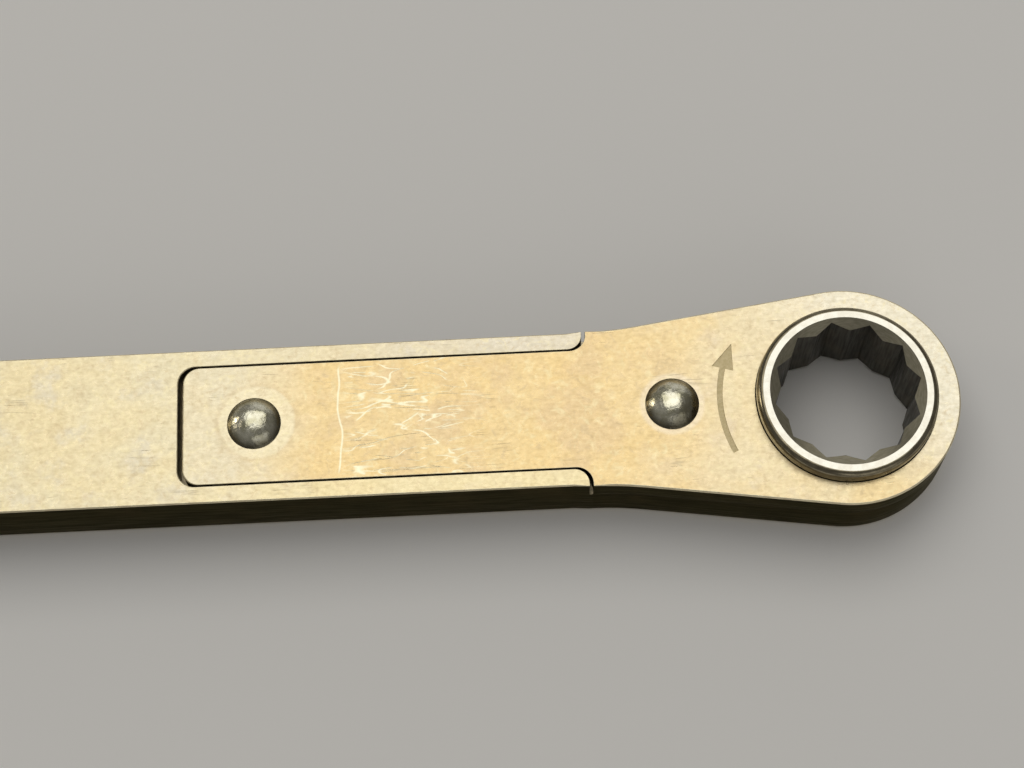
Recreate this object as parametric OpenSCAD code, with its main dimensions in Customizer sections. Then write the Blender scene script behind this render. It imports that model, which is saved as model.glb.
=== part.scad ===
// Ratchet ring spanner: flat bar handle, riveted cover plate, 12-point ratchet ring.
// Millimetres. The origin is on the ring's axis, in the plane that the tool lies on.
// +X runs from the handle to the nose of the head, +Z out of the cover plate.

/* [Handle] */
// Length from the nose of the head to the far end of the handle
overall_len = 190; // [150:1:260]
// Width of the parallel bar
bar_w = 14; // [13.6:0.1:14.2]
// Thickness of the handle, and of the head with its cover plate on
bar_t = 6.6; // [6.2:0.1:8]

/* [Head] */
// Radius of the rounded nose about the ring's axis
nose_r = 9.85; // [9.75:0.05:9.85]
// Angle that each flank of the head makes with the handle
flank_deg = 8.1; // [8.1:0.1:8.6]
// Width of the neck, just in front of the cover plate's shoulders
neck_w = 14.2; // [14.2:0.1:14.6]
// Radius that blends the neck into the flanks
neck_blend_r = 30; // [15:1:30]
// Thickness of the floor under the mechanism
floor_t = 1.4; // [1.2:0.1:1.6]

/* [Cover plate] */
// Thickness of the cover plate
cover_t = 2.4; // [2:0.1:2.6]
// Width of the long tongue that is let into the handle
tongue_w = 10.7; // [10.3:0.1:10.9]
// Distance from the ring's axis to the far end of the tongue
tongue_reach = 57.5; // [56:0.1:62]
// Corner radius at the far end of the tongue
tongue_corner_r = 1.4; // [1:0.1:2]
// Distance from the ring's axis to the shoulders that stop against the handle
shoulder_reach = 22.6; // [22.6:0.1:23]
// Radius of the handle's inner corners beside the shoulders
shoulder_r = 1.3; // [1:0.1:1.3]
// Gap between the tongue and its recess, along the sides
side_gap = 0.15; // [0.15:0.05:0.3]
// Gap between the tongue and its recess, at the far end
end_gap = 0.4; // [0.2:0.05:0.6]
// Depth of the direction arrow cut into the cover plate
arrow_depth = 0.08; // [0.04:0.01:0.15]

/* [Ratchet ring] */
// Distance across the flats of each of the socket's two hexagons
socket_af = 11.1; // [11.05:0.05:11.3]
// Radius of the two hubs that turn in the floor and in the cover plate
hub_r = 7.83; // [7.75:0.01:7.97]
// Height that the upper hub stands above the cover plate
hub_stand = 1.44; // [0.8:0.02:1.8]
// Height that the lower hub stands below the head
foot_stand = 0.35; // [0.3:0.05:1]
// Radius of the rounded outer edge of the upper hub
hub_edge_r = 0.6; // [0.3:0.05:0.7]
// Mouth radius of the countersinks at both ends of the socket
mouth_r = 6.74; // [6.6:0.02:6.9]
// Turn of the socket's corners about its axis
socket_turn = 7.6; // [0:0.1:30]
// Number of ratchet teeth
tooth_count = 36; // [36:12:36]
// Outer radius of the ratchet teeth
tooth_r = 8.9; // [8.8:0.05:8.9]
// Depth of the ratchet teeth
tooth_depth = 0.45; // [0.35:0.05:0.45]

/* [Rivets] */
// Distance from the ring's axis to the front rivet, which the pawl turns on
front_rivet_reach = 15.1; // [15:0.1:15.2]
// Distance from the ring's axis to the rear rivet
rear_rivet_reach = 51.3; // [49:0.1:52]
// Radius of the rivets' shanks
shank_r = 1.5; // [1.2:0.05:1.55]
// Radius of the domed heads
rivet_head_r = 2.33; // [2:0.01:2.6]
// Height of the domed heads
rivet_head_h = 1.3; // [0.8:0.05:1.6]

/* [Pawl and spring] */
// Radius of the sleeve that the pawl turns on
bush_r = 2.2; // [2:0.05:2.3]
// Radius of the pawl around its sleeve
eye_r = 3.4; // [3.2:0.05:3.5]
// Distance of the spring's axis from the handle's centre line
spring_side = 3.2; // [3.1:0.05:3.3]
// Diameter of the spring wire
wire_d = 0.4; // [0.3:0.05:0.45]
// Outer diameter of the spring
spring_d = 2.5; // [2.3:0.05:2.6]
// Number of turns in the spring
spring_turns = 14; // [10:1:18]

/* [Hidden] */
$fn = 96;

running = 0.05;        // radial clearance of a turning fit
snug = 0.02;           // radial clearance of a rivet in its hole
over = 1;              // how far a cut runs past the surface it opens

// Heights, from the plane that the tool lies on.
body_z = foot_stand;
pocket_z = body_z + floor_t;
cover_z = body_z + bar_t - cover_t;
top_z = body_z + bar_t;
hub_z = top_z + hub_stand;
cavity_h = cover_z - pocket_z;
mid_z = pocket_z + cavity_h / 2;

// Handle and head outline.
handle_end_x = nose_r - overall_len;
end_r = bar_w / 2;
neck_half = neck_w / 2;
tangent_x = -nose_r * sin(flank_deg);
tangent_y = nose_r * cos(flank_deg);
neck_x = tangent_x - (tangent_y - neck_half) / tan(flank_deg);
blend_x = neck_x - neck_blend_r * tan(flank_deg / 2);
blend_steps = 6;
neck_ramp = 1.3;       // length over which the bar widens into the neck

// Cover plate and its recess.
arm_end_x = -shoulder_reach;
recess_half = tongue_w / 2 + side_gap;
recess_corner_r = tongue_corner_r + side_gap;
shoulder_gap = 0.32;
cover_fillet_r = shoulder_r + side_gap;
nose_steps = 72;
corner_steps = 10;

// Direction arrow, on an arc about the ring's axis.
arrow_r = 10.95;
arrow_w = 0.5;
arrow_head_w = 1.9;
arrow_tail_deg = 205;
arrow_neck_deg = 163.8;
arrow_tip_deg = 151;
arrow_steps = 20;

// Ratchet ring.
pocket_r = tooth_r + 0.1;
bore_r = hub_r + running;
corner_r = socket_af / 2 / cos(30);
cone_h = mouth_r / tan(60);
ring_edge_r = 0.4;     // rounding of the lower hub
edge_steps = 8;
pitch_deg = 360 / tooth_count;
face_deg = 1.2;        // lean of a tooth's driving face
crest_deg = 0.7;       // width of a tooth's crest

// Pawl, in the frame of the ring.
pivot_x = -front_rivet_reach;
nose_from_deg = 130;   // the toothed nose spans these angles about the ring's axis
nose_to_deg = 147;
nose_out_r = 9.4;
nose_back_deg = 3;     // the nose runs on this far behind its last tooth
nose_back_r = tooth_r + 0.35;
nose_crown_deg = 8;    // its outer arc starts this far before its last tooth
crown_steps = 4;
arm_spring_side = [pivot_x - 1.25, 3.1];   // corners where the arm leaves the eye
arm_far_side = [pivot_x + 3, -1.3];
mesh_gap = 0.06;       // clearance between the pawl's teeth and the ring's
mesh_turn = 0.4;       // the same clearance as a turn of the ring, in degrees
heel_x = -19.2;
heel_half = 1.3;

// Plunger, spring and their channel.
channel_end_x = -43.5;
chamber_x = -20;
channel_w = 2.9;
channel_lap = 0.5;     // how far the channel runs into the chamber
// Room for the pawl to lift clear of the teeth, beside the ring's round pocket.
chamber_outline = [
    [chamber_x, 5.2], [-16, 5.2], [-9.5, 7.6], [-5.6, 8.2], [-4, 0],
    [-9, -3.9], [-18.9, -3.9], [-18.9, 1.2], [chamber_x, 1.2]
];
plunger_r = 1.35;
plunger_nose_r = 2;
plunger_gap = 0.03;
plunger_tip_x = heel_x - plunger_gap;
plunger_len = 2.8;
stem_r = 0.65;
stem_len = 8;
spring_front_x = plunger_tip_x - plunger_len;
spring_len = spring_front_x - channel_end_x;
coil_r = (spring_d - wire_d) / 2;
closed_pitch = wire_d * 1.08;   // the end turns nearly touch
open_pitch = (spring_len - wire_d - 2 * closed_pitch) / (spring_turns - 2);
turn_steps = 20;
wire_sides = 8;

// Rivets.
hole_r = shank_r + snug;
tail_r = 2.2;
tail_depth = 0.7;
tail_crown = 0.2;
crown_flat = 0.6;      // share of the tail's radius that is nearly flat
crown_fall = 0.7;      // share of the crown's height left at the edge of that flat
dome_r = (rivet_head_r * rivet_head_r + rivet_head_h * rivet_head_h) / (2 * rivet_head_h);
dome_steps = 12;

function polar(r, a) = [r * cos(a), r * sin(a)];

function arc_points(centre, r, from_deg, to_deg, steps) =
    [for (i = [0 : steps]) centre + polar(r, from_deg + (to_deg - from_deg) * i / steps)];
function reversed(points) = [for (i = [len(points) - 1 : -1 : 0]) points[i]];
function below(points) = [for (p = points) [p[0], -p[1]]];

// One flank of the head on the +Y side, from the neck forwards: a concave arc blends it in.
function flank_points() =
    arc_points([blend_x, neck_half + neck_blend_r], neck_blend_r, -90, flank_deg - 90, blend_steps);

// Ratchet teeth: each rises slowly counter-clockwise and drops at its driving face.
function tooth_points(extra_r, turn) = [
    for (i = [0 : tooth_count - 1])
        let (a = i * pitch_deg + turn)
        for (p = [
            [tooth_r - tooth_depth + extra_r, a],
            [tooth_r + extra_r, a + pitch_deg - face_deg - crest_deg],
            [tooth_r + extra_r, a + pitch_deg - face_deg]
        ]) polar(p[0], p[1])
];

// Distance along the spring's axis after a number of turns: both end turns are closed.
function coil_advance(turn) =
    turn < 1 ? closed_pitch * turn :
    turn > spring_turns - 1 ? spring_len - wire_d - closed_pitch * (spring_turns - turn) :
    closed_pitch + open_pitch * (turn - 1);

function coil_ring(turn) = [
    for (k = [0 : wire_sides - 1])
        let (b = 360 * k / wire_sides, r = coil_r + wire_d / 2 * cos(b))
        [coil_advance(turn) + wire_d / 2 * sin(b), r * cos(360 * turn), r * sin(360 * turn)]
];

module body_plan() {
    polygon(concat(
        arc_points([0, 0], nose_r, -90 - flank_deg, 90 + flank_deg, nose_steps),
        reversed(flank_points()),
        [[arm_end_x, neck_half], [arm_end_x - neck_ramp, end_r]],
        arc_points([handle_end_x + end_r, 0], end_r, 90, 270, nose_steps),
        [[arm_end_x - neck_ramp, -end_r], [arm_end_x, -neck_half]],
        below(flank_points())
    ));
}

// The recess for the cover plate: the tongue's slot, the arms' round ends, and all of the head.
module seat_plan() {
    clear_y = nose_r + over;
    side = concat(
        [[arm_end_x, clear_y]],
        arc_points([arm_end_x - shoulder_r, recess_half + shoulder_r], shoulder_r, 0, -90, corner_steps),
        arc_points([-tongue_reach - end_gap + recess_corner_r, recess_half - recess_corner_r],
            recess_corner_r, 90, 180, corner_steps)
    );
    polygon(concat([[clear_y, -clear_y], [clear_y, clear_y]], side, reversed(below(side))));
}

module cover_plan() {
    side = concat(
        reversed(flank_points()),
        [[arm_end_x + shoulder_gap, neck_half]],
        arc_points([arm_end_x + shoulder_gap - cover_fillet_r, tongue_w / 2 + cover_fillet_r],
            cover_fillet_r, 0, -90, corner_steps),
        arc_points([tongue_corner_r - tongue_reach, tongue_w / 2 - tongue_corner_r],
            tongue_corner_r, 90, 180, corner_steps)
    );
    polygon(concat(
        arc_points([0, 0], nose_r, -90 - flank_deg, 90 + flank_deg, nose_steps),
        side, reversed(below(side))
    ));
}

module arrow_plan() {
    polygon(concat(
        arc_points([0, 0], arrow_r + arrow_w / 2, arrow_tail_deg, arrow_neck_deg, arrow_steps),
        [polar(arrow_r + arrow_head_w / 2, arrow_neck_deg), polar(arrow_r, arrow_tip_deg),
         polar(arrow_r - arrow_head_w / 2, arrow_neck_deg)],
        arc_points([0, 0], arrow_r - arrow_w / 2, arrow_neck_deg, arrow_tail_deg, arrow_steps)
    ));
}

module rivet_hole(x) {
    translate([x, 0, -over]) cylinder(h = hub_z + 2 * over, r = hole_r);
    translate([x, 0, body_z]) cylinder(h = tail_depth, r1 = tail_r + snug, r2 = hole_r);
    translate([x, 0, body_z - over]) cylinder(h = over, r = tail_r + snug);
}

module handle_body() {
    color("#b5a98f") difference() {
        translate([0, 0, body_z]) linear_extrude(bar_t) body_plan();
        translate([0, 0, cover_z]) linear_extrude(cover_t + over) seat_plan();
        translate([0, 0, pocket_z]) cylinder(h = bar_t, r = pocket_r);
        translate([0, 0, -over]) cylinder(h = bar_t, r = bore_r);
        translate([0, 0, pocket_z]) linear_extrude(bar_t) polygon(chamber_outline);
        translate([channel_end_x, spring_side - channel_w / 2, pocket_z])
            cube([chamber_x + channel_lap - channel_end_x, channel_w, bar_t]);
        for (reach = [front_rivet_reach, rear_rivet_reach]) rivet_hole(-reach);
    }
}

module cover_plate() {
    color("#d8c08e") translate([0, 0, cover_z]) difference() {
        linear_extrude(cover_t) cover_plan();
        translate([0, 0, -over]) cylinder(h = cover_t + 2 * over, r = bore_r);
        for (reach = [front_rivet_reach, rear_rivet_reach])
            translate([-reach, 0, -over]) cylinder(h = cover_t + 2 * over, r = hole_r);
        translate([0, 0, cover_t - arrow_depth]) linear_extrude(over) arrow_plan();
    }
}

// The hub's side view, turned about the ring's axis: both outer edges are rounded.
module hub_profile() {
    polygon(concat(
        [[0, 0]],
        arc_points([hub_r - ring_edge_r, ring_edge_r], ring_edge_r, -90, 0, edge_steps),
        arc_points([hub_r - hub_edge_r, hub_z - hub_edge_r], hub_edge_r, 0, 90, edge_steps),
        [[0, hub_z]]
    ));
}

module ratchet_ring() {
    color("#9a9a98") difference() {
        union() {
            rotate_extrude() hub_profile();
            translate([0, 0, pocket_z + running])
                linear_extrude(cavity_h - 2 * running) polygon(tooth_points(0, 0));
        }
        for (turn = [0, 30]) rotate(socket_turn + turn)
            translate([0, 0, -over]) cylinder(h = hub_z + 2 * over, r = corner_r, $fn = 6);
        cylinder(h = cone_h, r1 = mouth_r, r2 = 0);
        translate([0, 0, hub_z - cone_h]) cylinder(h = cone_h, r1 = 0, r2 = mouth_r);
    }
}

module pawl_arm_plan() {
    polygon(concat(
        [arm_spring_side],
        arc_points([0, 0], nose_out_r, nose_to_deg - nose_crown_deg, nose_from_deg, crown_steps),
        [polar(tooth_r - tooth_depth, nose_from_deg), polar(tooth_r - tooth_depth, nose_to_deg)],
        [polar(nose_back_r, nose_to_deg + nose_back_deg), arm_far_side]
    ));
}

module pawl() {
    pawl_h = cavity_h - 2 * running;
    color("#77787a") translate([0, 0, pocket_z + running]) difference() {
        union() {
            translate([pivot_x, 0, 0]) cylinder(h = pawl_h, r = eye_r);
            linear_extrude(pawl_h) pawl_arm_plan();
            translate([heel_x, spring_side - heel_half, 0])
                cube([pivot_x - heel_x, 2 * heel_half, pawl_h]);
        }
        translate([0, 0, -over]) linear_extrude(pawl_h + 2 * over)
            polygon(tooth_points(mesh_gap, mesh_turn));
        translate([pivot_x, 0, -over]) cylinder(h = pawl_h + 2 * over, r = bush_r + running);
    }
}

module pawl_bush() {
    color("#a58a52") translate([pivot_x, 0, pocket_z]) difference() {
        cylinder(h = cavity_h, r = bush_r);
        translate([0, 0, -over]) cylinder(h = cavity_h + 2 * over, r = hole_r);
    }
}

// The plunger's half side view: x is its radius, y runs forwards to its tip.
module plunger_profile() {
    nose_h = plunger_nose_r - sqrt(plunger_nose_r * plunger_nose_r - plunger_r * plunger_r);
    nose_deg = asin(plunger_r / plunger_nose_r);
    polygon(concat(
        arc_points([0, -plunger_nose_r], plunger_nose_r, 90, 90 - nose_deg, edge_steps),
        [[plunger_r, -nose_h], [plunger_r, -plunger_len], [stem_r, -plunger_len],
         [stem_r, -plunger_len - stem_len], [0, -plunger_len - stem_len]]
    ));
}

module plunger() {
    color("#8d8f90") translate([plunger_tip_x, spring_side, mid_z]) rotate([0, 90, 0])
        rotate_extrude() plunger_profile();
}

module pawl_spring() {
    steps = spring_turns * turn_steps;
    rings = [for (i = [0 : steps]) coil_ring(i / turn_steps)];
    points = [for (ring = rings) for (p = ring) p];
    sides = [
        for (i = [0 : steps - 1]) for (k = [0 : wire_sides - 1])
            let (a = i * wire_sides + k, b = i * wire_sides + (k + 1) % wire_sides)
            [a, b, b + wire_sides, a + wire_sides]
    ];
    first = [for (k = [wire_sides - 1 : -1 : 0]) k];
    last = [for (k = [0 : wire_sides - 1]) steps * wire_sides + k];
    color("#6f7478") translate([channel_end_x + wire_d / 2, spring_side, mid_z])
        polyhedron(points, concat(sides, [first, last]), convexity = 8);
}

// Half of a rivet's side view: countersunk tail, shank and domed head.
module rivet_profile() {
    dome_deg = asin(rivet_head_r / dome_r);
    polygon(concat(
        [[0, body_z - tail_crown], [tail_r * crown_flat, body_z - tail_crown * crown_fall],
         [tail_r, body_z], [shank_r, body_z + tail_depth], [shank_r, top_z]],
        arc_points([0, top_z + rivet_head_h - dome_r], dome_r, 90 - dome_deg, 90, dome_steps)
    ));
}

module rivet(reach) {
    translate([-reach, 0, 0]) rotate_extrude() rivet_profile();
}

module front_rivet() {
    color("#5f5d58") rivet(front_rivet_reach);
}

module rear_rivet() {
    color("#5f5d58") rivet(rear_rivet_reach);
}

handle_body();
cover_plate();
ratchet_ring();
pawl();
pawl_bush();
plunger();
pawl_spring();
front_rivet();
rear_rivet();
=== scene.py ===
import math

import bmesh
import bpy
from mathutils import Matrix, Vector, noise


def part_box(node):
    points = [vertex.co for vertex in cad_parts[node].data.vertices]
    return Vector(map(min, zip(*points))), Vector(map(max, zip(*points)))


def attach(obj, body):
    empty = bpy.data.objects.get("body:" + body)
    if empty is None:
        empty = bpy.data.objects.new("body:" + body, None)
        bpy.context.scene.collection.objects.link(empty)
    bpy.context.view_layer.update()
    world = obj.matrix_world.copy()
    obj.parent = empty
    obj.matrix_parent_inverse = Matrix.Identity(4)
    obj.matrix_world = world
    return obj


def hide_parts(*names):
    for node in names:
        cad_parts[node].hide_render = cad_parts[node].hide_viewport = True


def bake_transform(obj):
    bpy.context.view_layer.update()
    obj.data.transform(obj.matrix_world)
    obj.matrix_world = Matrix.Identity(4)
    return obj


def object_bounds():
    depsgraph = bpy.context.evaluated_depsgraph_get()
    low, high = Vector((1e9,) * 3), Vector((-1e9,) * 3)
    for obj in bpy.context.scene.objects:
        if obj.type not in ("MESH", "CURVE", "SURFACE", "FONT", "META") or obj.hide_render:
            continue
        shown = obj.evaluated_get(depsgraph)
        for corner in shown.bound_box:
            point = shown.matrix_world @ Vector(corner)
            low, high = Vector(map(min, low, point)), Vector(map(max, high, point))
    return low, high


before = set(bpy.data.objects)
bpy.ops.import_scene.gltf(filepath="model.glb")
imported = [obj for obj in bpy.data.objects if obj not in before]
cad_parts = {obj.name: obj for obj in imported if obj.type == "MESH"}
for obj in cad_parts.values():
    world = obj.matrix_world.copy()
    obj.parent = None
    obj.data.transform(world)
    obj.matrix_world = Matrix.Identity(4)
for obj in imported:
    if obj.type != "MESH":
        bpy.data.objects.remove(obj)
cad_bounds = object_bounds()

# Lengths are in millimetres, in the CAD frame, until put() scales a finished mesh to metres.
MM = 0.001


def span(node):
    """A CAD node's lowest and highest corners, in millimetres."""
    low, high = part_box(node)
    return low / MM, high / MM


body_low, body_high = span("handle_body")
cover_low, _ = span("cover_plate")
ring_low, ring_high = span("ratchet_ring")
front_low, front_high = span("front_rivet")
rear_low, rear_high = span("rear_rivet")

TOP = body_high.z                      # the flat top of the handle and of the cover plate
FRONT_X = (front_low.x + front_high.x) / 2
REAR_X = (rear_low.x + rear_high.x) / 2
TONGUE_X = cover_low.x                 # far end of the cover plate's tongue
ARM_X = -22.6                          # the handle's two arms end here, beside the shoulders
ARM_MIDDLE_Y = 6.5                     # between the recess and the outer side of an arm

HUB_R = 7.83
HUB_EDGE_R = 0.6                       # rounding of the upper hub
FOOT_EDGE_R = 0.4                      # rounding of the lower hub
MOUTH_R = 6.74                         # the countersink, where it meets the ring's flat face
MOUTH_SLOPE = math.radians(60)         # the countersink's lean from the ring's axis
SOCKET_AF = 11.1
SOCKET_POINTS = 12
SOCKET_TURN = math.radians(7.6)

RIVET_SHANK_R = 1.5
RIVET_TAIL_R = 2.2
RIVET_SINK = 0.7                       # depth of the tail's countersink

BORE_AREA_R = HUB_R + 0.5              # the hubs' bores lie within this radius
POCKET_AREA_R = HUB_R + 1.4            # the round pocket lies within this one
RIVET_AREA_R = 2.8                     # a rivet's hole lies within this radius of its axis

OUTER_EDGE = 0.15                      # rounding of the outer edges
RECESS_EDGE = 0.04                     # rounding of the recess, the tongue's sides and the bores
TONGUE_EDGE = 0.14                     # rounding of the far end of the tongue and of the recess
SEAM_EDGE = 0.05                       # rounding beside the seam round the head
EDGE_STEPS = 4                         # facets of a rounding

LEVEL = 0.002                          # heights that differ by less are the same
WELD = 0.0005                          # points that lie closer are the same
SMOOTH_LIMIT = math.cos(math.radians(26))
FLAT_LIMIT = 0.9999                    # a face whose normal is this much upright is flat
NEARLY_FLAT = 0.99                     # the same for the last facet of a rounding

FACE, WALL, RIM, SUNK = range(4)       # material slots of the body and the cover; SUNK is pocket or arrow
# material slots of the ring; SOCKET, COUNTERSINK and HUB_RIM get painted shade
HUB, SOCKET, COUNTERSINK, HUB_RIM = range(4)
MOST_SLOTS = 4
MARK_LIMIT = 1                         # the etched arrow is shallower than this, and every wall deeper


# ---------------------------------------------------------------- mesh helpers

def corner_normals(bm):
    """One normal per face corner: flat faces stay exactly flat and their neighbours blend into them."""
    normals = []
    for face in bm.faces:
        for loop in face.loops:
            total = Vector((0, 0, 0))
            for other in loop.vert.link_loops:
                if other.face.normal.dot(face.normal) < SMOOTH_LIMIT:
                    continue
                if abs(other.face.normal.z) > FLAT_LIMIT:
                    total = other.face.normal.copy()
                    break
                total += other.face.normal * other.calc_angle()
            normals.append(total.normalized() if total.length > 0 else face.normal)
    return normals


def put(bm, name, body, materials, replaces):
    """Makes a piece from a bmesh in millimetres."""
    bmesh.ops.scale(bm, vec=(MM, MM, MM), verts=bm.verts)
    bm.normal_update()
    normals = corner_normals(bm)
    mesh = bpy.data.meshes.new(name)
    bm.to_mesh(mesh)
    bm.free()
    piece = bpy.data.objects.new(name, mesh)
    bpy.context.scene.collection.objects.link(piece)
    for material in materials:
        mesh.materials.append(material)
    mesh.shade_smooth()
    mesh.normals_split_custom_set(normals)
    if body:
        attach(piece, body)
    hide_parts(*replaces)
    return piece


def cad_copy(node):
    """A CAD node's shape in millimetres."""
    bm = bmesh.new()
    bm.from_mesh(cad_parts[node].data)
    bmesh.ops.scale(bm, vec=(1 / MM, 1 / MM, 1 / MM), verts=bm.verts)
    bmesh.ops.remove_doubles(bm, verts=bm.verts, dist=WELD)
    return bm


class Shell:
    """A mesh as plain lists, so that rims can be rounded while flat faces stay flat."""

    def __init__(self, bm):
        bm.verts.index_update()
        self.points = [vertex.co.copy() for vertex in bm.verts]
        self.faces = [[vertex.index for vertex in face.verts] for face in bm.faces]
        self.slots = [FACE for _ in self.faces]
        bm.free()

    def depth(self, face):
        heights = [self.points[k].z for k in face]
        return max(heights) - min(heights)

    def flat(self, face):
        return self.depth(face) < LEVEL

    def centre(self, face):
        return sum((self.points[k] for k in face), Vector((0, 0, 0))) / len(face)

    def normal(self, face):
        first, second, third = (self.points[k] for k in face[:3])
        return (second - first).cross(third - first).normalized()

    def round_rim(self, z, up, width_at, slot):
        """Rounds the rims between flat faces at height z and the walls on their solid side.

        up is 1 where those faces look up and -1 where they look down. width_at(point, wall depth)
        gives the radius of the rounding, or 0 for none."""
        sides = {}
        for face in self.faces:
            for i, j in zip(face, face[1:] + face[:1]):
                sides.setdefault((min(i, j), max(i, j)), []).append((face, i, j))
        rims = []
        inward = {}
        depth = {}
        for pair in sides.values():
            if len(pair) != 2 or any(abs(self.points[k].z - z) > LEVEL for k in pair[0][1:]):
                continue
            flats = [side for side in pair if self.flat(side[0])]
            others = [side for side in pair if not self.flat(side[0])]
            walls = [side for side in others if (self.centre(side[0]).z - z) * up < 0]
            if not flats or not walls:
                continue
            wall, i, j = walls[0]
            rims.append((i, j))
            for k in (i, j):
                inward.setdefault(k, []).append(-self.normal(wall))
                depth[k] = max(depth.get(k, 0), self.depth(wall))
        rings = {}
        for k, vectors in inward.items():
            width = width_at(self.points[k], depth[k]) if len(vectors) == 2 else 0
            if width <= 0:
                continue
            total = vectors[0] + vectors[1]
            mitre = total / max(total.length_squared / 2, 0.5)
            rings[k] = []
            for step in range(EDGE_STEPS + 1):
                turn = math.pi / 2 * step / EDGE_STEPS
                drop = Vector((0, 0, up * width * (1 - math.sin(turn))))
                self.points.append(self.points[k] + mitre * width * (1 - math.cos(turn)) - drop)
                rings[k].append(len(self.points) - 1)
        for face in self.faces:
            place = -1 if self.flat(face) else 0
            face[:] = [rings[k][place] if k in rings else k for k in face]
        for i, j in rims:
            if i not in rings and j not in rings:
                continue
            for step in range(EDGE_STEPS):
                low_i, high_i = (rings[i][step], rings[i][step + 1]) if i in rings else (i, i)
                low_j, high_j = (rings[j][step], rings[j][step + 1]) if j in rings else (j, j)
                self.faces.append(list(dict.fromkeys([low_j, low_i, high_i, high_j])))
                self.slots.append(slot)

    def mesh(self):
        bm = bmesh.new()
        vertices = [bm.verts.new(point) for point in self.points]
        for face, slot in zip(self.faces, self.slots):
            bm.faces.new([vertices[k] for k in face]).material_index = slot
        bmesh.ops.delete(bm, geom=[v for v in bm.verts if not v.link_faces], context="VERTS")
        bm.normal_update()
        return bm


def grade(value, low, high, at_low, at_high):
    """at_low below low, at_high above high, and a straight blend from one to the other."""
    share = min(1, max(0, (value - low) / (high - low)))
    return at_low + (at_high - at_low) * share


def lathe(profile, steps, centre=(0, 0)):
    """A solid of revolution about Z. Its (radius, height) points start and end on the axis or, for a
    tube, form a closed loop."""
    bm = bmesh.new()
    rings = []
    closed = profile[0][0] > 0
    for radius, z in profile:
        if radius == 0:
            rings.append([bm.verts.new((centre[0], centre[1], z))])
            continue
        rings.append([
            bm.verts.new((
                centre[0] + radius * math.cos(2 * math.pi * k / steps),
                centre[1] + radius * math.sin(2 * math.pi * k / steps), z,
            )) for k in range(steps)
        ])
    pairs = list(zip(rings, rings[1:]))
    if closed:
        pairs.append((rings[-1], rings[0]))
    for low, high in pairs:
        for k in range(steps):
            n = (k + 1) % steps
            corners = [low[k % len(low)], low[n % len(low)], high[n % len(high)], high[k % len(high)]]
            bm.faces.new(list(dict.fromkeys(corners)))  # a ring on the axis has one point
    return bm


def arc(centre, radius, start, end, steps):
    """Points along an arc in the (radius, height) plane, angles in degrees."""
    angles = [math.radians(start + (end - start) * i / steps) for i in range(steps + 1)]
    return [(centre[0] + radius * math.cos(a), centre[1] + radius * math.sin(a)) for a in angles]


def circle(radius, steps, turn=0.0):
    """Points round a circle, or round a star where radius is a list that the points take in turn."""
    radii = radius if isinstance(radius, list) else [radius]
    return [
        (radii[k % len(radii)] * math.cos(turn + 2 * math.pi * k / steps),
         radii[k % len(radii)] * math.sin(turn + 2 * math.pi * k / steps))
        for k in range(steps)
    ]


def prism(outline, low, high):
    bm = bmesh.new()
    bottom = [bm.verts.new((x, y, low)) for x, y in outline]
    top = [bm.verts.new((x, y, high)) for x, y in outline]
    bm.faces.new(list(reversed(bottom)))
    bm.faces.new(top)
    for k in range(len(outline)):
        n = (k + 1) % len(outline)
        bm.faces.new([bottom[k], bottom[n], top[n], top[k]])
    return bm


def combine(bm, other, operation):
    """bm after a boolean with other; both are used up. Faces keep their material index."""
    objects = []
    for part in (bm, other):
        bmesh.ops.recalc_face_normals(part, faces=part.faces)
        mesh = bpy.data.meshes.new("boolean")
        part.to_mesh(mesh)
        part.free()
        for _ in range(MOST_SLOTS):
            mesh.materials.append(None)
        objects.append(bpy.data.objects.new("boolean", mesh))
        bpy.context.scene.collection.objects.link(objects[-1])
    modifier = objects[0].modifiers.new("boolean", "BOOLEAN")
    modifier.operation = operation
    modifier.object = objects[1]
    modifier.solver = "EXACT"
    graph = bpy.context.evaluated_depsgraph_get()
    result = bmesh.new()
    result.from_mesh(objects[0].evaluated_get(graph).to_mesh())
    for part in objects:
        mesh = part.data
        bpy.data.objects.remove(part)
        bpy.data.meshes.remove(mesh)
    return result


# ---------------------------------------------------------------- materials

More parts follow.
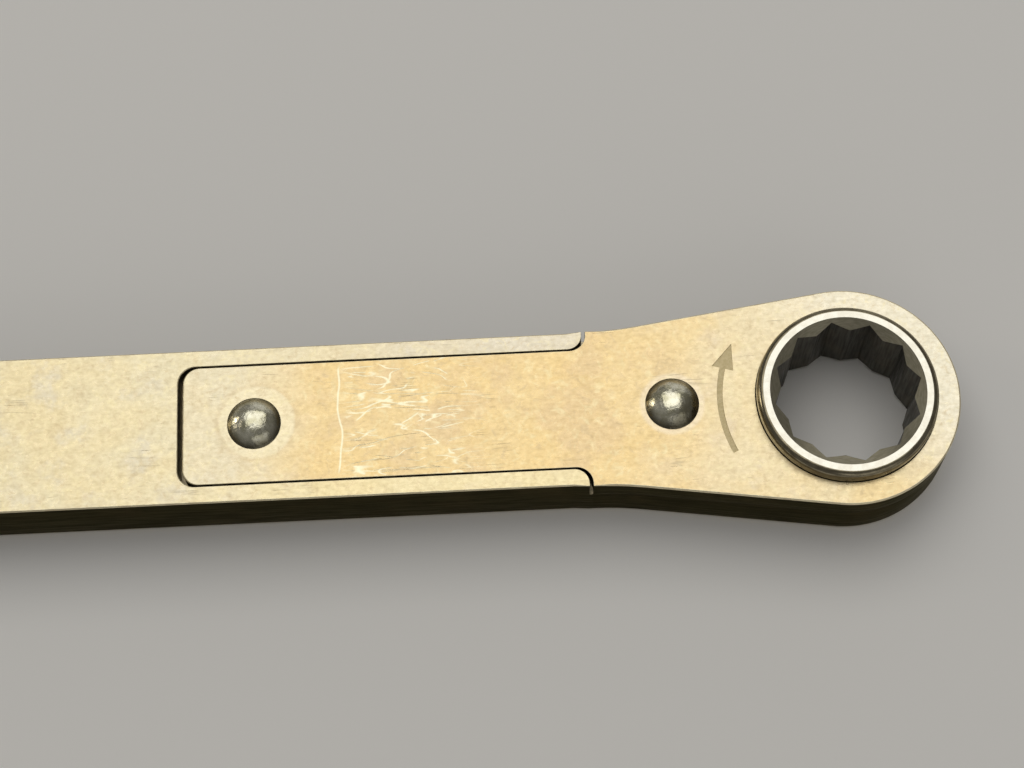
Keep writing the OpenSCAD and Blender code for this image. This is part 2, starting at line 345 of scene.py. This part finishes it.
class Surface:
    """A procedural metal, built up node by node. Coordinates are millimetres in the CAD frame."""

    def __init__(self, name, roughness, anisotropic=0.0):
        self.material = bpy.data.materials.new(name)
        self.material.use_nodes = True
        self.tree = self.material.node_tree
        self.shader = self.tree.nodes["Principled BSDF"]
        self.shader.inputs["Metallic"].default_value = 1.0
        self.shader.inputs["Roughness"].default_value = roughness
        self.shader.inputs["Anisotropic"].default_value = anisotropic
        coordinates = self.tree.nodes.new("ShaderNodeTexCoord")
        self.place = self.vector("SCALE", coordinates.outputs["Object"], scale=1 / MM)
        self.split = self.node("ShaderNodeSeparateXYZ", Vector=self.place)
        self.height = None

    def node(self, kind, settings=None, **inputs):
        made = self.tree.nodes.new(kind)
        for key, value in (settings or {}).items():
            setattr(made, key, value)
        for key, value in inputs.items():
            self.feed(made.inputs[key.replace("_", " ")], value)
        return made

    def feed(self, socket, value):
        if isinstance(value, bpy.types.NodeSocket):
            self.tree.links.new(value, socket)
        else:
            socket.default_value = value

    def vector(self, operation, first, second=None, scale=None):
        made = self.node("ShaderNodeVectorMath", {"operation": operation})
        self.feed(made.inputs[0], first)
        if second is not None:
            self.feed(made.inputs[1], second)
        if scale is not None:
            self.feed(made.inputs["Scale"], scale)
        return made.outputs["Value"] if operation == "LENGTH" else made.outputs["Vector"]

    def math(self, operation, first, second=0.0):
        made = self.node("ShaderNodeMath", {"operation": operation})
        self.feed(made.inputs[0], first)
        self.feed(made.inputs[1], second)
        return made.outputs[0]

    def times(self, first, second):
        return self.math("MULTIPLY", first, second)

    def ramp(self, value, low, high, to_low=0.0, to_high=1.0, smooth=True):
        """to_low where value is low, to_high where it is high; low may be the larger number."""
        kind = "SMOOTHSTEP" if smooth else "LINEAR"
        made = self.node("ShaderNodeMapRange", {"interpolation_type": kind}, Value=value)
        limits = {"From Min": low, "From Max": high, "To Min": to_low, "To Max": to_high}
        for key, number in limits.items():
            made.inputs[key].default_value = number
        return made.outputs["Result"]

    def noise(self, scale, detail=3.0, rough=0.5, stretch=(1, 1, 1), distortion=0.0, offset=(0, 0, 0)):
        """Noise with about scale features to the millimetre, from 0 to 1."""
        place = self.vector("MULTIPLY", self.vector("ADD", self.place, offset), stretch)
        made = self.node(
            "ShaderNodeTexNoise", Vector=place, Scale=scale, Detail=detail, Roughness=rough,
            Distortion=distortion,
        )
        return made.outputs["Fac"]

    def mix(self, factor, first, second, blend="MIX"):
        made = self.node("ShaderNodeMix", {"data_type": "RGBA", "blend_type": blend})
        self.feed(made.inputs["Factor"], factor)
        for socket, value in ((made.inputs[6], first), (made.inputs[7], second)):
            self.feed(socket, value if isinstance(value, bpy.types.NodeSocket) else (*value, 1.0))
        return made.outputs[2]

    def distance(self, x, y, rough_edge):
        """Distance in plan from a point, in millimetres, its circles uneven by rough_edge."""
        flat = self.vector("MULTIPLY", self.place, (1, 1, 0))
        length = self.vector("LENGTH", self.vector("SUBTRACT", flat, (x, y, 0)))
        waver = self.ramp(self.noise(1.2), 0, 1, -rough_edge, rough_edge, False)
        return self.math("ADD", length, waver)

    def hairlines(self, angle, scale, keep, offset, width=0.012, run=0.06, chop=0.35):
        """Fine, broken scratch lines that run at an angle to X: 1 on a line, 0 off it."""
        turned = self.node("ShaderNodeMapping", Vector=self.place)
        turned.inputs["Location"].default_value = offset
        turned.inputs["Rotation"].default_value = (0, 0, math.radians(angle))
        turned.inputs["Scale"].default_value = (run, scale, 1)
        lines = self.node(
            "ShaderNodeTexNoise", Vector=turned.outputs[0], Scale=1.0, Detail=1.0, Distortion=0.5,
        ).outputs["Fac"]
        thin = self.ramp(self.math("ABSOLUTE", self.math("SUBTRACT", lines, 0.5)), 0.0, width, 1, 0)
        broken = self.ramp(self.noise(chop, 1.0, offset=offset), keep, keep + 0.08)
        return self.times(thin, broken)

    def color(self, value):
        self.feed(self.shader.inputs["Base Color"], value)

    def roughness(self, value):
        self.feed(self.shader.inputs["Roughness"], value)

    def bump(self, height, distance):
        """Adds a bump layer; distance is the height in millimetres that a change of 1 stands for."""
        made = self.node("ShaderNodeBump", Height=height, Distance=distance * MM, Strength=1.0)
        if self.height:
            self.feed(made.inputs["Normal"], self.height)
        self.height = made.outputs["Normal"]
        self.feed(self.shader.inputs["Normal"], self.height)


def satin_face(name, tones, local_tones):
    """The ground, tarnished upper and lower faces: drifting warm tones, fine grain, a few hairlines."""
    pale, warm, grey = tones
    straw, brown = (0.97, 0.86, 0.54), (0.66, 0.53, 0.33)
    dust, scored = (0.50, 0.43, 0.28), (0.40, 0.33, 0.22)
    surface = Surface(name, 0.3, 0.25)
    drift = surface.noise(0.11, 3.0, 0.55, distortion=0.6)
    patches = surface.noise(0.32, 4.0, 0.6, offset=(31, 7, 0))
    color = surface.mix(surface.ramp(drift, 0.35, 0.65), pale, warm)
    color = surface.mix(surface.ramp(patches, 0.5, 0.7, 0, 0.7), color, grey)
    color = local_tones(surface, color)
    blotch = surface.noise(1.1, 4.0, 0.65, distortion=0.8)
    color = surface.mix(surface.ramp(blotch, 0.5, 0.72, 0, 0.55), color, straw)
    color = surface.mix(surface.ramp(blotch, 0.48, 0.28, 0, 0.5), color, brown)
    speckle = surface.noise(3.5, 5.0, 0.7, stretch=(0.6, 1, 1))
    color = surface.mix(surface.ramp(speckle, 0.35, 0.75, 0.0, 0.3), color, dust, "MULTIPLY")
    rising = surface.hairlines(12, 1.4, 0.62, (3, 8, 0))
    falling = surface.hairlines(-27, 1.1, 0.66, (40, -5, 0))
    scratches = surface.math("MAXIMUM", rising, falling)
    color = surface.mix(surface.times(scratches, 0.4), color, scored)
    grain = surface.noise(6.0, 3.0, 0.6, stretch=(0.08, 1, 1))
    mottle = surface.noise(2.2, 4.0, 0.65)
    wear = surface.math("ADD", mottle, surface.times(grain, 0.4))
    surface.color(color)
    surface.roughness(surface.ramp(wear, 0.4, 1.0, 0.24, 0.4))
    surface.bump(grain, 0.004)
    surface.bump(mottle, 0.014)
    surface.bump(surface.math("SUBTRACT", 1.0, scratches), 0.006)
    return surface, color


def handle_tones(surface, color):
    """The handle: paler and greyer on the arm at +Y, straw gold on the other one."""
    pale, gold = (0.78, 0.72, 0.60), (0.95, 0.80, 0.45)
    along, across = surface.split.outputs["X"], surface.split.outputs["Y"]
    far = surface.times(surface.ramp(along, TONGUE_X, ARM_X), surface.ramp(across, 4, 6))
    color = surface.mix(surface.times(far, 0.8), color, pale)
    near = surface.times(surface.ramp(along, TONGUE_X - 5, TONGUE_X + 15), surface.ramp(across, -4, -6))
    return surface.mix(surface.times(near, 0.5), color, gold)


def cover_tones(surface, color):
    """The cover plate: straw gold along the tongue, paler at both ends, a polished ring at each rivet."""
    gold, tarnish, end = (0.90, 0.67, 0.32), (0.78, 0.60, 0.38), (0.82, 0.77, 0.60)
    cream, front_halo = (0.91, 0.87, 0.73), (0.93, 0.82, 0.64)
    rear_halo, rear_ring = (0.93, 0.84, 0.60), (0.66, 0.52, 0.32)
    along, across = surface.split.outputs["X"], surface.split.outputs["Y"]
    middle = surface.times(surface.ramp(along, TONGUE_X + 6, TONGUE_X + 13), surface.ramp(along, -8, -22))
    color = surface.mix(surface.times(middle, 0.7), color, gold)
    clouds = surface.ramp(surface.noise(0.2, 3.0, 0.6, offset=(5, 50, 0)), 0.45, 0.62)
    color = surface.mix(surface.times(surface.times(clouds, middle), 0.5), color, tarnish)
    color = surface.mix(surface.ramp(along, TONGUE_X + 12, TONGUE_X + 3, 0, 0.6), color, end)
    nose = surface.math("ADD", along, surface.times(across, 0.8))
    color = surface.mix(surface.ramp(nose, -4, 8, 0, 0.85), color, cream)
    rear = surface.distance(REAR_X + 0.25, 0.1, 0.12)
    color = surface.mix(surface.times(surface.ramp(rear, 3.45, 3.2), 0.7), color, rear_halo)
    ring = surface.times(surface.ramp(rear, 3.0, 3.4), surface.ramp(rear, 3.9, 3.4))
    color = surface.mix(surface.times(ring, 0.3), color, rear_ring)
    front = surface.distance(FRONT_X, 0.0, 0.08)
    return surface.mix(surface.ramp(front, 3.0, 2.6, 0, 0.6), color, front_halo)


def tongue_scratches(surface):
    """Short bright scratches in the middle of the tongue, and one long one across it."""
    along, across = surface.split.outputs["X"], surface.split.outputs["Y"]
    zone = surface.times(
        surface.ramp(along, REAR_X + 7, REAR_X + 9), surface.ramp(along, ARM_X - 7, ARM_X - 13)
    )
    ways = ((68, (2, 17, 0)), (24, (9, 3, 0)), (-48, (14, 22, 0)), (102, (-7, 12, 0)), (-12, (21, 5, 0)))
    marks = None
    for angle, offset in ways:
        lines = surface.hairlines(angle, 0.55, 0.45, offset, 0.014, 0.12, 0.6)
        marks = surface.math("MAXIMUM", marks, lines) if marks else lines
    wander = surface.ramp(surface.noise(0.25, 1.0, stretch=(0, 1, 0)), 0.3, 0.7, -0.25, 0.25, False)
    middle = surface.math("ADD", wander, REAR_X + 7.4)
    off = surface.math("ABSOLUTE", surface.math("SUBTRACT", along, middle))
    reach = surface.math("ABSOLUTE", across)
    long_mark = surface.times(surface.ramp(off, 0.13, 0.03), surface.ramp(reach, 5.1, 4.4))
    return surface.math("MAXIMUM", surface.times(marks, zone), surface.times(long_mark, 0.9))


def handle_material():
    pale, warm, grey = (0.84, 0.76, 0.54), (0.86, 0.74, 0.47), (0.78, 0.72, 0.58)
    return satin_face("handle_satin", (pale, warm, grey), handle_tones)[0].material


def cover_material():
    pale, warm, grey = (0.88, 0.76, 0.51), (0.90, 0.72, 0.41), (0.82, 0.71, 0.53)
    scratch = (1.0, 0.95, 0.70)
    cover, base = satin_face("cover_satin", (pale, warm, grey), cover_tones)
    marks = tongue_scratches(cover)
    cover.color(cover.mix(cover.times(marks, 0.9), base, scratch))
    cover.bump(cover.math("SUBTRACT", 1.0, marks), 0.008)
    return cover.material


def side_painted_shade_material():
    """The sides, painted near-black: painted shade standing in for the contact shadow and the dark mat
    they mirror. They are streaky and mirror little.
    """
    light, dark, brown = (0.038, 0.034, 0.023), (0.022, 0.020, 0.014), (0.055, 0.042, 0.026)
    side = Surface("side_steel_painted_shade", 0.42)
    side.shader.inputs["Specular Tint"].default_value = (0.65, 0.62, 0.50, 1)
    streaks = side.noise(1.6, 4.0, 0.6, stretch=(0.15, 0.15, 2.0))
    stain_and_shade = side.noise(0.25, 3.0, 0.6)
    color = side.mix(side.ramp(streaks, 0.3, 0.7), light, dark)
    side.color(side.mix(side.ramp(stain_and_shade, 0.45, 0.7, 0, 0.6), color, brown))
    side.roughness(side.ramp(streaks, 0.3, 0.7, 0.32, 0.5))
    side.bump(streaks, 0.012)
    side.bump(side.noise(2.5, 4.0), 0.01)
    return side.material


def edge_material():
    """The rounded edges, rubbed bright by use."""
    bright, dull = (0.97, 0.88, 0.62), (0.82, 0.72, 0.50)
    edge = Surface("worn_edge", 0.24)
    rub = edge.noise(0.9, 4.0, 0.65)
    edge.color(edge.mix(edge.ramp(rub, 0.35, 0.65), bright, dull))
    edge.roughness(edge.ramp(rub, 0.3, 0.7, 0.34, 0.5))
    edge.bump(edge.noise(3.0, 4.0), 0.01)
    return edge.material


def pocket_material():
    light, dark = (0.62, 0.54, 0.38), (0.44, 0.38, 0.27)
    inside = Surface("machined_pocket", 0.4)
    cuts = inside.noise(3.0, 2.0, 0.5, stretch=(1, 1, 0.2))
    inside.color(inside.mix(inside.ramp(cuts, 0.3, 0.7), light, dark))
    inside.bump(cuts, 0.01)
    return inside.material


def etched_material():
    dark, light = (0.60, 0.50, 0.28), (0.72, 0.61, 0.38)
    etched = Surface("etched_mark", 0.55)
    etch = etched.noise(4.0, 4.0, 0.7)
    etched.color(etched.mix(etched.ramp(etch, 0.3, 0.7), dark, light))
    etched.bump(etch, 0.02)
    return etched.material


def hub_material():
    """The polished, turned face of the ring."""
    light, dark = (0.88, 0.86, 0.77), (0.80, 0.77, 0.67)
    polished = Surface("ring_polished", 0.16)
    turned = polished.noise(1.5, 3.0, 0.5, stretch=(1, 1, 6))
    polished.color(polished.mix(polished.ramp(turned, 0.35, 0.65), light, dark))
    polished.roughness(polished.ramp(polished.noise(2.5, 4.0), 0.3, 0.7, 0.12, 0.24))
    polished.bump(turned, 0.004)
    return polished.material


def socket_painted_shade_material():
    """The broached star, painted near-black as shade in the deep socket, with upright strokes and some
    grime.
    """
    light, dark, brown = (0.095, 0.09, 0.07), (0.06, 0.056, 0.042), (0.13, 0.105, 0.07)
    broached = Surface("socket_broached_painted_shade", 0.4)
    strokes = broached.noise(5.0, 3.0, 0.6, stretch=(1, 1, 0.06))
    grime = broached.noise(0.5, 3.0)
    color = broached.mix(broached.ramp(strokes, 0.3, 0.7), light, dark)
    broached.color(broached.mix(broached.ramp(grime, 0.4, 0.7, 0, 0.5), color, brown))
    broached.roughness(broached.ramp(strokes, 0.3, 0.7, 0.34, 0.52))
    broached.bump(strokes, 0.012)
    return broached.material


def countersink_painted_shade_material():
    # Painted shade: a darker, duller copy of the turned hub's metal in the countersink.
    light, dark = (0.50, 0.46, 0.34), (0.38, 0.35, 0.25)
    sunk = Surface("countersink", 0.3)
    rings = sunk.noise(6.0, 2.0, 0.5, stretch=(0.3, 0.3, 3))
    sunk.color(sunk.mix(sunk.ramp(rings, 0.3, 0.7), light, dark))
    sunk.bump(rings, 0.006)
    return sunk.material


def hub_edge_painted_shade_material():
    # Painted shade: a darker copy of the hub's polished metal on its rounded edge.
    light, dark = (0.35, 0.31, 0.21), (0.21, 0.18, 0.12)
    edge = Surface("hub_edge", 0.2)
    bands = edge.noise(1.2, 3.0, 0.5, stretch=(1, 1, 4))
    edge.color(edge.mix(edge.ramp(bands, 0.3, 0.7), light, dark))
    edge.roughness(edge.ramp(bands, 0.3, 0.7, 0.14, 0.26))
    edge.bump(bands, 0.006)
    return edge.material


def rivet_material(name, x, stain_and_shade):
    """Polished, hand-peened steel, with painted shade round the foot of the dome and painted shade on its
    +X, -Y side.
    """
    bright, dull = (0.96, 0.93, 0.76), (0.66, 0.63, 0.45)
    shaded_side, foot_shade = (0.20, 0.18, 0.12), (0.10, 0.09, 0.06)
    surface = Surface(name, 0.16)
    dents = surface.noise(1.1, 3.0, 0.55)
    pits = surface.noise(4.0, 3.0, 0.6)
    color = surface.mix(surface.ramp(dents, 0.35, 0.65), bright, dull)
    # Painted shade on the side of the dome towards +X and -Y.
    across = surface.times(surface.math("SUBTRACT", surface.split.outputs["X"], x), 0.8)
    lean = surface.math("SUBTRACT", across, surface.times(surface.split.outputs["Y"], 0.6))
    color = surface.mix(surface.ramp(lean, 0.3, 1.5, 0, stain_and_shade), color, shaded_side)
    # Painted shade: a dark band round the foot of the dome, where it meets the plate.
    foot = surface.ramp(surface.distance(x, 0, 0.1), 1.55, 2.3, 0, 0.9)
    surface.color(surface.mix(foot, color, foot_shade))
    surface.roughness(surface.ramp(pits, 0.3, 0.7, 0.17, 0.30))
    surface.bump(dents, 0.08)
    surface.bump(pits, 0.012)
    return surface.material


def plain_metal(name, light, dark, roughness, stretch=(1, 1, 1)):
    """Ground or drawn metal for the sealed inner pieces."""
    surface = Surface(name, roughness)
    lines = surface.noise(4.0, 3.0, 0.6, stretch=stretch)
    surface.color(surface.mix(surface.ramp(lines, 0.3, 0.7), light, dark))
    surface.roughness(surface.ramp(lines, 0.3, 0.7, roughness - 0.06, roughness + 0.1))
    surface.bump(lines, 0.008)
    return surface.material


# ---------------------------------------------------------------- pieces

def in_plan(point):
    return math.hypot(point.x, point.y)


def near_rivet(point):
    return min(math.hypot(point.x - x, point.y) for x in (FRONT_X, REAR_X)) < RIVET_AREA_R


def make_body():
    shell = Shell(cad_copy("handle_body"))

    def outside(point):
        """Whether a point is on the outer sides, not in the recess, the pocket or a hole."""
        beyond = abs(point.y) > ARM_MIDDLE_Y or point.x > 0 or point.x < TONGUE_X - 1
        return beyond and in_plan(point) > POCKET_AREA_R and not near_rivet(point)

    for number, face in enumerate(shell.faces):
        centre = shell.centre(face)
        if shell.flat(face):
            skin = abs(centre.z - TOP) < LEVEL or abs(centre.z - body_low.z) < LEVEL
            shell.slots[number] = FACE if skin else SUNK
        else:
            shell.slots[number] = WALL if all(outside(shell.points[k]) for k in face) else SUNK

    def top_width(point, _):
        if outside(point):
            return grade(point.x, ARM_X - 1.5, ARM_X - 0.2, OUTER_EDGE, RECESS_EDGE)
        return grade(point.x, TONGUE_X, TONGUE_X + 1.5, TONGUE_EDGE, RECESS_EDGE)

    def seam_width(point, _):
        return SEAM_EDGE if outside(point) and point.x > ARM_X + 0.1 else 0

    def low_width(point, _):
        if outside(point):
            return OUTER_EDGE
        return RECESS_EDGE if in_plan(point) < BORE_AREA_R else 0

    shell.round_rim(TOP, 1, top_width, RIM)
    shell.round_rim(cover_low.z, 1, seam_width, WALL)
    shell.round_rim(body_low.z, -1, low_width, RIM)
    metals = [handle_material(), SHADED_SIDE, EDGE, pocket_material()]
    put(shell.mesh(), "handle_body_finish", "body", metals, ["handle_body"])


def make_cover():
    shell = Shell(cad_copy("cover_plate"))
    for number, face in enumerate(shell.faces):
        centre = shell.centre(face)
        if shell.flat(face):
            shell.slots[number] = SUNK if TOP - MARK_LIMIT < centre.z < TOP - LEVEL else FACE
        else:
            shell.slots[number] = WALL if shell.depth(face) > MARK_LIMIT else SUNK

    def top_width(point, depth):
        if depth < MARK_LIMIT or near_rivet(point):
            return 0
        if in_plan(point) < BORE_AREA_R:
            return RECESS_EDGE
        if point.x < TONGUE_X + 2:
            return grade(point.x, TONGUE_X + 0.2, TONGUE_X + 1.8, TONGUE_EDGE, RECESS_EDGE)
        return grade(point.x, ARM_X + 0.3, ARM_X + 1.8, RECESS_EDGE, OUTER_EDGE)

    def seam_width(point, _):
        on_head = in_plan(point) > BORE_AREA_R and not near_rivet(point) and point.x > ARM_X + 1
        return SEAM_EDGE if on_head else 0

    shell.round_rim(TOP, 1, top_width, RIM)
    shell.round_rim(cover_low.z, -1, seam_width, WALL)
    metals = [cover_material(), SHADED_SIDE, EDGE, etched_material()]
    put(shell.mesh(), "cover_plate_finish", "body", metals, ["cover_plate"])


def make_hub():
    """The turned hub with its countersinks."""
    core = SOCKET_AF / 2 - 0.6             # inside the star, so that the star cuts it all away
    lead = (MOUTH_R - core) / math.tan(MOUTH_SLOPE)
    high, low = ring_high.z, ring_low.z
    profile = (
        [(MOUTH_R, low)] + arc((HUB_R - FOOT_EDGE_R, low + FOOT_EDGE_R), FOOT_EDGE_R, -90, 0, 8)
        + arc((HUB_R - HUB_EDGE_R, high - HUB_EDGE_R), HUB_EDGE_R, 0, 90, 12)
        + [(MOUTH_R, high), (core, high - lead), (core, low + lead)]
    )
    bm = lathe(profile, steps=192)
    bm.normal_update()
    for face in bm.faces:
        radius, upright = in_plan(face.calc_center_median()), abs(face.normal.z)
        if radius < MOUTH_R and upright > 0.1:
            face.material_index = COUNTERSINK
        if radius > HUB_R - HUB_EDGE_R and upright < NEARLY_FLAT:
            face.material_index = HUB_RIM
    return bm


def make_star():
    """The 12-point socket as a cutter: two hexagons' corners, with a notch between each pair."""
    corner = SOCKET_AF / 2 / math.cos(math.radians(30))
    notch = SOCKET_AF / 2 / math.cos(math.radians(15))
    star = circle([corner, notch], 2 * SOCKET_POINTS, SOCKET_TURN)
    cutter = prism(star, ring_low.z - 1, ring_high.z + 1)
    for face in cutter.faces:
        face.material_index = SOCKET
    return cutter


def make_teeth():
    """The ratchet teeth, from the CAD's ring."""
    ring = cad_copy("ratchet_ring")
    toothed = [v.co.copy() for v in ring.verts if in_plan(v.co) > HUB_R + 0.2]
    ring.free()
    low, high = min(p.z for p in toothed), max(p.z for p in toothed)
    rim = {(round(p.x, 4), round(p.y, 4)) for p in toothed if p.z - low < LEVEL}
    gear = prism(sorted(rim, key=lambda p: math.atan2(p[1], p[0])), low, high)
    bore = prism(circle(HUB_R - 0.5, steps=96), low - 1, high + 1)
    return combine(gear, bore, "DIFFERENCE")


def make_ring():
    bm = combine(make_hub(), make_star(), "DIFFERENCE")
    bm = combine(bm, make_teeth(), "UNION")
    bmesh.ops.recalc_face_normals(bm, faces=bm.faces)
    metals = [hub_material(), socket_painted_shade_material(), countersink_painted_shade_material(), hub_edge_painted_shade_material()]
    put(bm, "ratchet_ring_finish", "ring", metals, ["ratchet_ring"])


def make_rivet(node, seed, stain_and_shade):
    """A hand-peened rivet: its dome is a little uneven, with shallow hammer flats."""
    low, high = span(node)
    x, y = (low.x + high.x) / 2, (low.y + high.y) / 2
    head_r = (high.x - low.x) / 2
    head_h = high.z - TOP
    rim = 0.05                             # height and width of the bevel at the head's foot
    dent, swell = 0.06, 0.05               # depth of the hammer flats, and of the slower waves
    dome_r = (head_r ** 2 + head_h ** 2) / (2 * head_h)
    sweep = math.degrees(math.asin(head_r / dome_r))
    dome = arc((0, high.z - dome_r), dome_r, 90 - sweep, 90, 20)
    dome[-1] = (0, high.z)
    crown = body_low.z - low.z
    tail = [
        (0, low.z), (1.0, low.z + crown * 0.15), (1.7, low.z + crown * 0.6),
        (RIVET_TAIL_R, body_low.z), (RIVET_SHANK_R, body_low.z + RIVET_SINK),
    ]
    foot = [(RIVET_SHANK_R, TOP), (head_r - rim, TOP), (head_r, TOP + rim)]
    bm = lathe(tail + foot + dome[1:], steps=96, centre=(x, y))
    for vertex in bm.verts:
        height = (vertex.co.z - TOP) / head_h
        if height <= 0.1:
            continue
        local = Vector((vertex.co.x - x, vertex.co.y - y, vertex.co.z - TOP))
        flats = noise.voronoi(local * 0.75 + Vector((seed, 0, 0)))[0][0]
        wave = noise.noise(local * 0.8 + Vector((0, seed, 0)))
        sink = (dent * (flats - 0.45) + swell * wave) * min(1, height * 2)
        outwards = (vertex.co - Vector((x, y, high.z - dome_r))).normalized()
        vertex.co += outwards * min(sink, 0)
    bmesh.ops.recalc_face_normals(bm, faces=bm.faces)
    metal = rivet_material(f"{node}_peened", x, stain_and_shade)
    put(bm, f"{node}_finish", "body", [metal], [node])


def dress_inner_pieces():
    """The pawl, its sleeve and the plunger keep their CAD shape and get their own metals."""
    steel = plain_metal("hardened_ground", (0.45, 0.45, 0.46), (0.32, 0.32, 0.34), 0.28, (0.1, 1, 1))
    bronze = plain_metal("bush_bronze", (0.70, 0.50, 0.25), (0.55, 0.38, 0.18), 0.3, (1, 1, 4))
    for node, material in (("pawl", steel), ("plunger", steel), ("pawl_bush", bronze)):
        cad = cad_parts[node]
        cad.data.materials.clear()
        cad.data.materials.append(material)


def make_spring():
    """The coil spring, in its CAD shape with its own metal; it is attached to no body."""
    wire = [plain_metal("spring_wire", (0.42, 0.43, 0.46), (0.28, 0.29, 0.32), 0.25)]
    piece = put(cad_copy("pawl_spring"), "pawl_spring_finish", None, wire, ["pawl_spring"])
    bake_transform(piece)


# ---------------------------------------------------------------- camera, floor and light

def make_camera():
    """Above the head end, looking down along +Y, so that the handle runs out of view at the left."""
    distance, elevation, roll = 191 * MM, math.radians(69.6), math.radians(-2.7)
    target = Vector((-28.85, 2.52, TOP)) * MM
    data = bpy.data.cameras.new("camera")
    data.lens = 77.3
    data.sensor_width = 36
    data.clip_start = 0.005
    camera = bpy.data.objects.new("camera", data)
    camera.location = target + distance * Vector((0, -math.cos(elevation), math.sin(elevation)))
    bpy.context.scene.collection.objects.link(camera)
    look = (target - camera.location).to_track_quat("-Z", "Y")
    camera.rotation_euler = (look.to_matrix() @ Matrix.Rotation(roll, 3, "Z")).to_euler()
    bpy.context.scene.camera = camera


def make_floor():
    bm = bmesh.new()
    bmesh.ops.create_grid(bm, x_segments=2, y_segments=2, size=2.0)
    mesh = bpy.data.meshes.new("floor")
    bm.to_mesh(mesh)
    bm.free()
    floor = bpy.data.objects.new("floor", mesh)
    floor.location = (0, 0, cad_bounds[0][2])
    bpy.context.scene.collection.objects.link(floor)
    material = bpy.data.materials.new("floor")
    material.use_nodes = True
    shader = material.node_tree.nodes["Principled BSDF"]
    shader.inputs["Base Color"].default_value = (0.90, 0.89, 0.87, 1)
    shader.inputs["Roughness"].default_value = 0.8
    mesh.materials.append(material)


def area_light(name, offset, size, power, color):
    """A soft light aimed at the head end, at an offset from it in metres."""
    centre = Vector((-30, 0, 0)) * MM
    data = bpy.data.lights.new(name, "AREA")
    data.shape = "RECTANGLE"
    data.size, data.size_y = size
    data.energy = power
    data.color = color
    light = bpy.data.objects.new(name, data)
    light.location = centre + Vector(offset)
    bpy.context.scene.collection.objects.link(light)
    light.rotation_euler = (centre - light.location).to_track_quat("-Z", "Y").to_euler()


def make_lights():
    white, warm_white, amber = (1.0, 0.98, 0.95), (1.0, 0.98, 0.93), (1.0, 0.9, 0.72)
    area_light("ceiling", (-0.02, 0.27, 0.74), (0.9, 0.9), 2.6, warm_white)
    area_light("left", (-0.83, 0.27, 0.24), (0.2, 0.2), 0.45, amber)
    area_light("behind", (0.5, -1.1, 0.55), (1.2, 0.8), 1.2, white)
    area_light("far", (0.3, 1.3, 0.35), (1.2, 0.5), 0.6, white)
    world = bpy.data.worlds.new("studio")
    bpy.context.scene.world = world
    world.use_nodes = True
    background = world.node_tree.nodes["Background"]
    background.inputs["Color"].default_value = (*white, 1)
    background.inputs["Strength"].default_value = 0.16
    bpy.context.scene.view_settings.view_transform = "Standard"


SHADED_SIDE = side_painted_shade_material()
EDGE = edge_material()
make_body()
make_cover()
make_ring()
# The last argument sets how strong the painted shade on one side of each rivet is.
make_rivet("front_rivet", 3.0, 0.75)
make_rivet("rear_rivet", 11.0, 0.3)
dress_inner_pieces()
make_spring()
make_camera()
make_floor()
make_lights()
